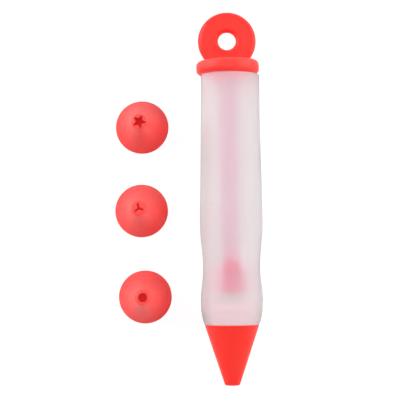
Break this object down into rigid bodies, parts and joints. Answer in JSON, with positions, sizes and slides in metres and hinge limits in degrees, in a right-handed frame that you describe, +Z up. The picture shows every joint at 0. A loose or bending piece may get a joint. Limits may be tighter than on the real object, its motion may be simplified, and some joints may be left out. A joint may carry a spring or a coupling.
{
  "type": "icing pen",
  "caption": "Squeeze pen for icing: frosted soft tube, ring handled plunger, push-on cone nozzle and spare nozzles with star, slot and round outlets.",
  "frame": {"origin": "centre of the whole set on the table top, at the bottom centre of its box", "axes": "+Y along the pen from its nozzle to its finger ring, +Z up from the table, spare nozzles at -X"},
  "size_m": [0.076, 0.19, 0.032],
  "materials": {
    "frosted_silicone": "frosted translucent silicone, pale pink white",
    "natural_plastic": "natural translucent plastic, smooth",
    "red_silicone": "satin coral red silicone",
    "red_plastic": "smooth red plastic",
    "pink_plastic": "smooth rose pink plastic",
    "seal_silicone": "translucent pink silicone"
  },
  "bodies": {
    "barrel": {"squeeze_tube": "frosted_silicone", "nozzle_coupler": "natural_plastic"},
    "plunger": {"handle_ring": "red_silicone", "plunger_rod": "pink_plastic", "piston_hub": "red_plastic", "piston_seal": "seal_silicone"},
    "fitted_nozzle": {"writing_nozzle": "red_silicone"},
    "spare_star": {"star_nozzle": "red_silicone"},
    "spare_three_slot": {"three_slot_nozzle": "red_silicone"},
    "spare_round": {"round_nozzle": "red_silicone"}
  },
  "joints": [
    {"name": "plunger_slide", "type": "slide", "parent": "barrel", "child": "plunger", "axis": [0, 1, 0], "range_m": [0, 0.113]},
    {"name": "nozzle_pull", "type": "slide", "parent": "barrel", "child": "fitted_nozzle", "axis": [0, -1, 0], "range_m": [0, 0.014]},
    {"name": "star_lift", "type": "slide", "parent": "barrel", "child": "spare_star", "axis": [0, 0, 1], "range_m": [0, 0.035]},
    {"name": "three_slot_lift", "type": "slide", "parent": "barrel", "child": "spare_three_slot", "axis": [0, 0, 1], "range_m": [0, 0.035]},
    {"name": "round_lift", "type": "slide", "parent": "barrel", "child": "spare_round", "axis": [0, 0, 1], "range_m": [0, 0.035]}
  ]
}
